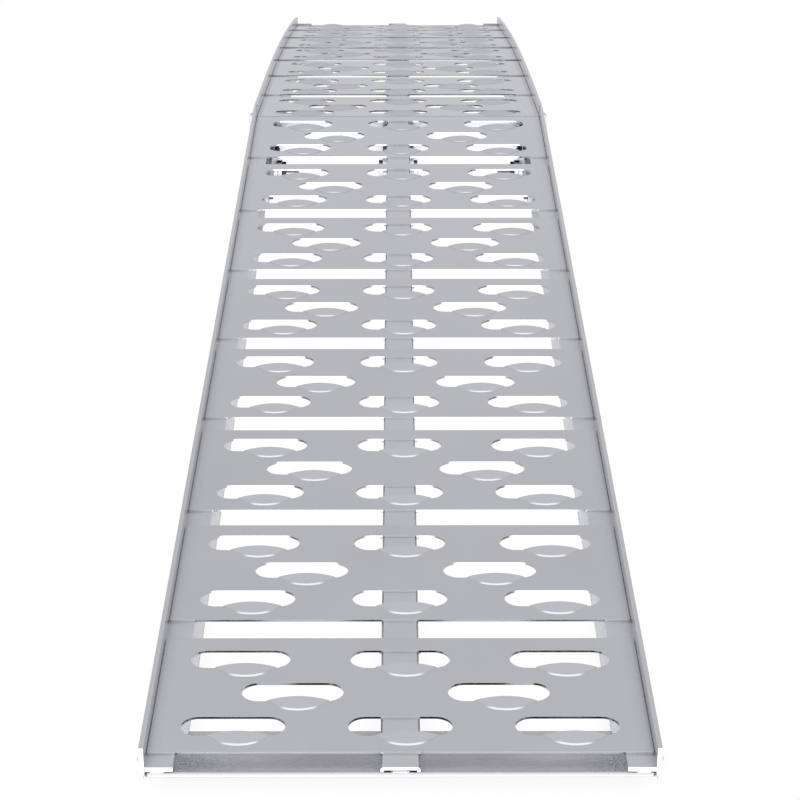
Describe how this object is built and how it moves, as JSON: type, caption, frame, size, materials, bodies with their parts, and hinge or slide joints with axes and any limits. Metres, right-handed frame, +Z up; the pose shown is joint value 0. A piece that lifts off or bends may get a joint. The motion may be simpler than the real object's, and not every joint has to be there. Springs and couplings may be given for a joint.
{
  "type": "folding loading ramp",
  "caption": "Centre-fold arched loading ramp: punched aluminium treads on two curbed rails and a spine, hinged under abutting end plates.",
  "frame": {"origin": "under the middle of the open ramp, on the floor it stands on", "axes": "+Y up the ramp from its low end to its top end, +Z up, +X to the right when looking up the ramp"},
  "size_m": [0.301, 2.2252, 0.1406],
  "materials": {
    "tread_sheet": "satin mill finish sheet",
    "rail_extrusion": "satin extruded",
    "end_plate": "satin mill finish plate",
    "strap_plate": "satin mill finish plate",
    "spacer_sleeve": "turned",
    "dark_bolt": "black zinc",
    "dark_nut": "black zinc"
  },
  "bodies": {
    "lower_half": {"lower_rail_left": "rail_extrusion", "lower_rail_right": "rail_extrusion", "lower_spine": "rail_extrusion", "lower_tread_1": "tread_sheet", "lower_tread_2": "tread_sheet", "lower_tread_3": "tread_sheet", "lower_tread_4": "tread_sheet", "lower_tread_5": "tread_sheet", "lower_tread_6": "tread_sheet", "lower_tread_7": "tread_sheet", "lower_tread_8": "tread_sheet", "foot_plate": "end_plate", "lower_hinge_plate": "end_plate", "lower_strap_left": "strap_plate", "lower_strap_right": "strap_plate", "lower_spine_straps": "strap_plate", "lower_strap_bolts": "dark_bolt", "lower_strap_nuts": "dark_nut", "lower_strap_spacers": "spacer_sleeve", "hinge_bolt_left": "dark_bolt", "hinge_pin_centre": "spacer_sleeve", "hinge_bolt_right": "dark_bolt", "hinge_nuts": "dark_nut"},
    "upper_half": {"upper_rail_left": "rail_extrusion", "upper_rail_right": "rail_extrusion", "upper_spine": "rail_extrusion", "upper_tread_1": "tread_sheet", "upper_tread_2": "tread_sheet", "upper_tread_3": "tread_sheet", "upper_tread_4": "tread_sheet", "upper_tread_5": "tread_sheet", "upper_tread_6": "tread_sheet", "upper_tread_7": "tread_sheet", "top_plate": "end_plate", "top_end_pads": "end_plate", "upper_hinge_plate": "end_plate", "upper_strap_left": "strap_plate", "upper_strap_right": "strap_plate", "upper_spine_straps": "strap_plate", "upper_strap_bolts": "dark_bolt", "upper_strap_nuts": "dark_nut", "upper_strap_spacers": "spacer_sleeve"}
  },
  "joints": [
    {"name": "fold", "type": "hinge", "parent": "lower_half", "child": "upper_half", "pos_m": [0, 0.07586, 0.07528], "axis": [-1, 0, 0], "range_deg": [0, 168]}
  ]
}
